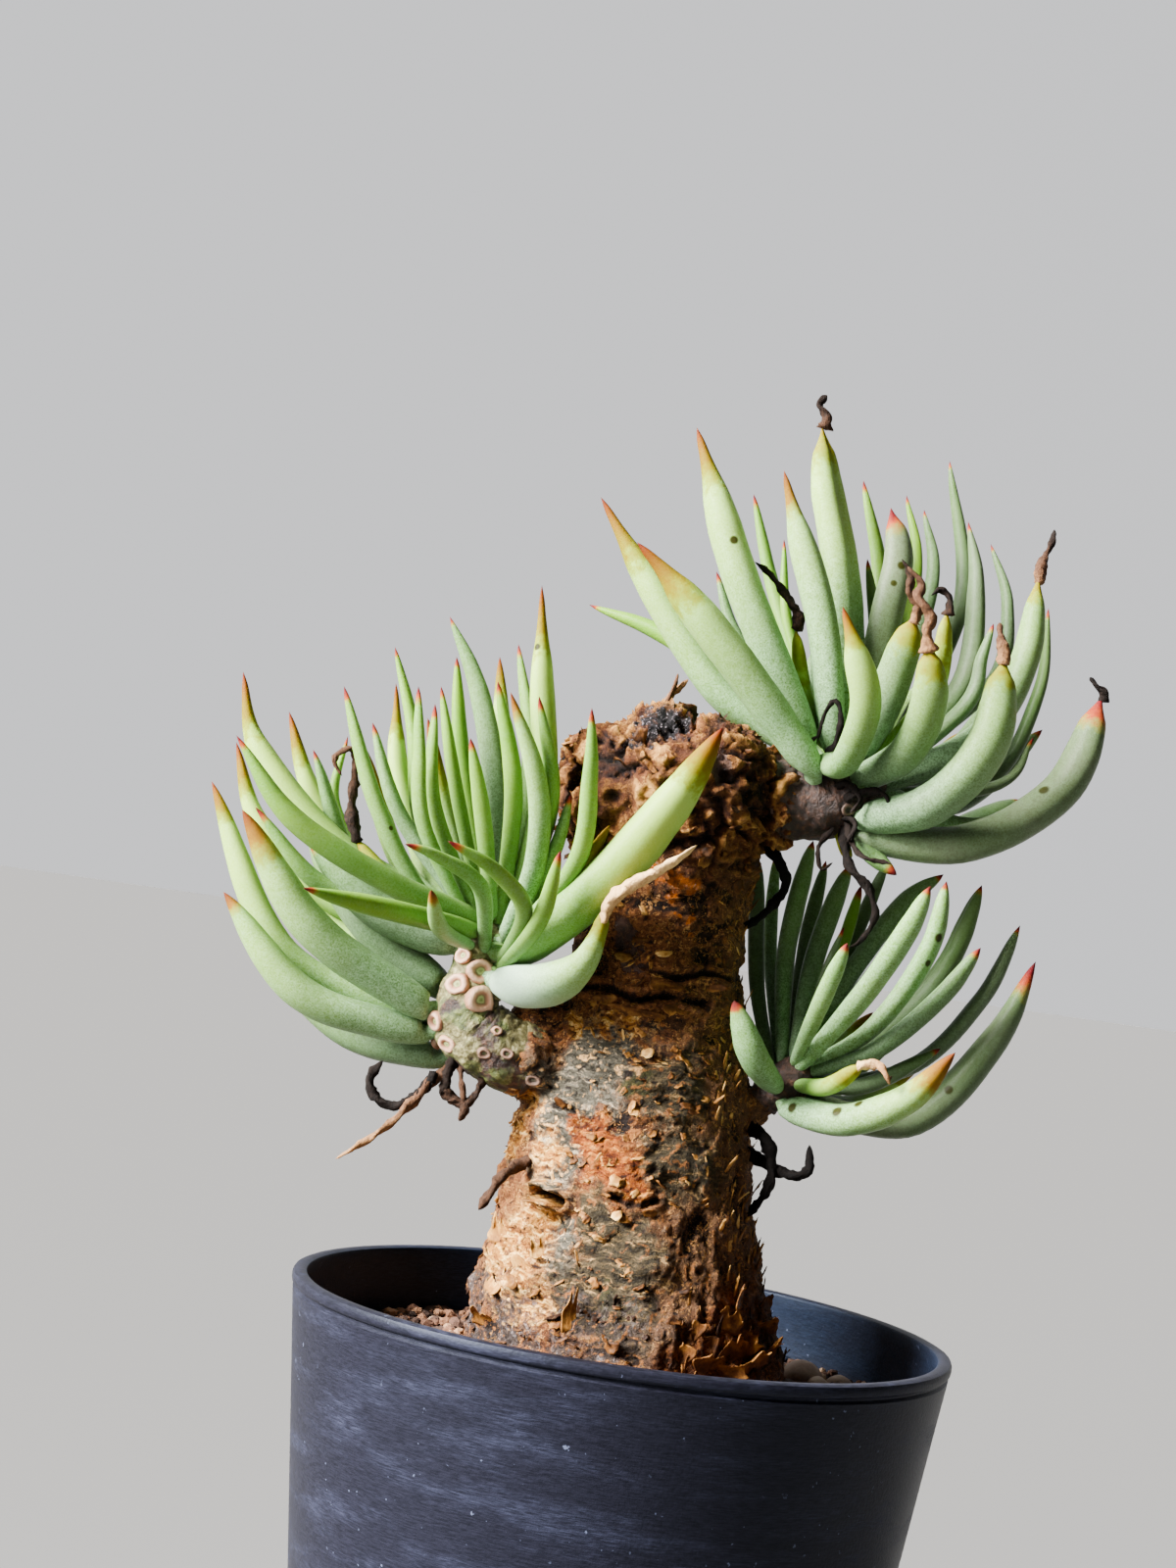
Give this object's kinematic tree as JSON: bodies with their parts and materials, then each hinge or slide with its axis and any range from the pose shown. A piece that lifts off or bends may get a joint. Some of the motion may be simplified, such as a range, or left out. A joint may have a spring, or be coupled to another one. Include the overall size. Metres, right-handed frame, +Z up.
{
  "type": "potted tylecodon",
  "caption": "Caudex succulent with peeling bark, short branches and heads of finger-like leaves, growing in a round tapered nursery pot.",
  "frame": {"origin": "middle of the pot's underside, on the surface it stands on", "axes": "+Z up along the pot's axis; the plant is seen from -Y, with its tallest head to the right, towards +X"},
  "size_m": [0.1818, 0.135, 0.3103],
  "materials": {
    "pot_plastic": "matt black plastic",
    "grit": "dry red-brown granules",
    "bark": "papery peeling bark",
    "leaf": "waxy green skin with a pale bloom"
  },
  "bodies": {
    "root": {"pot": "pot_plastic", "soil": "grit", "trunk": "bark", "rosette_left": "leaf", "rosette_top": "leaf", "rosette_low": "leaf"}
  },
  "joints": []
}
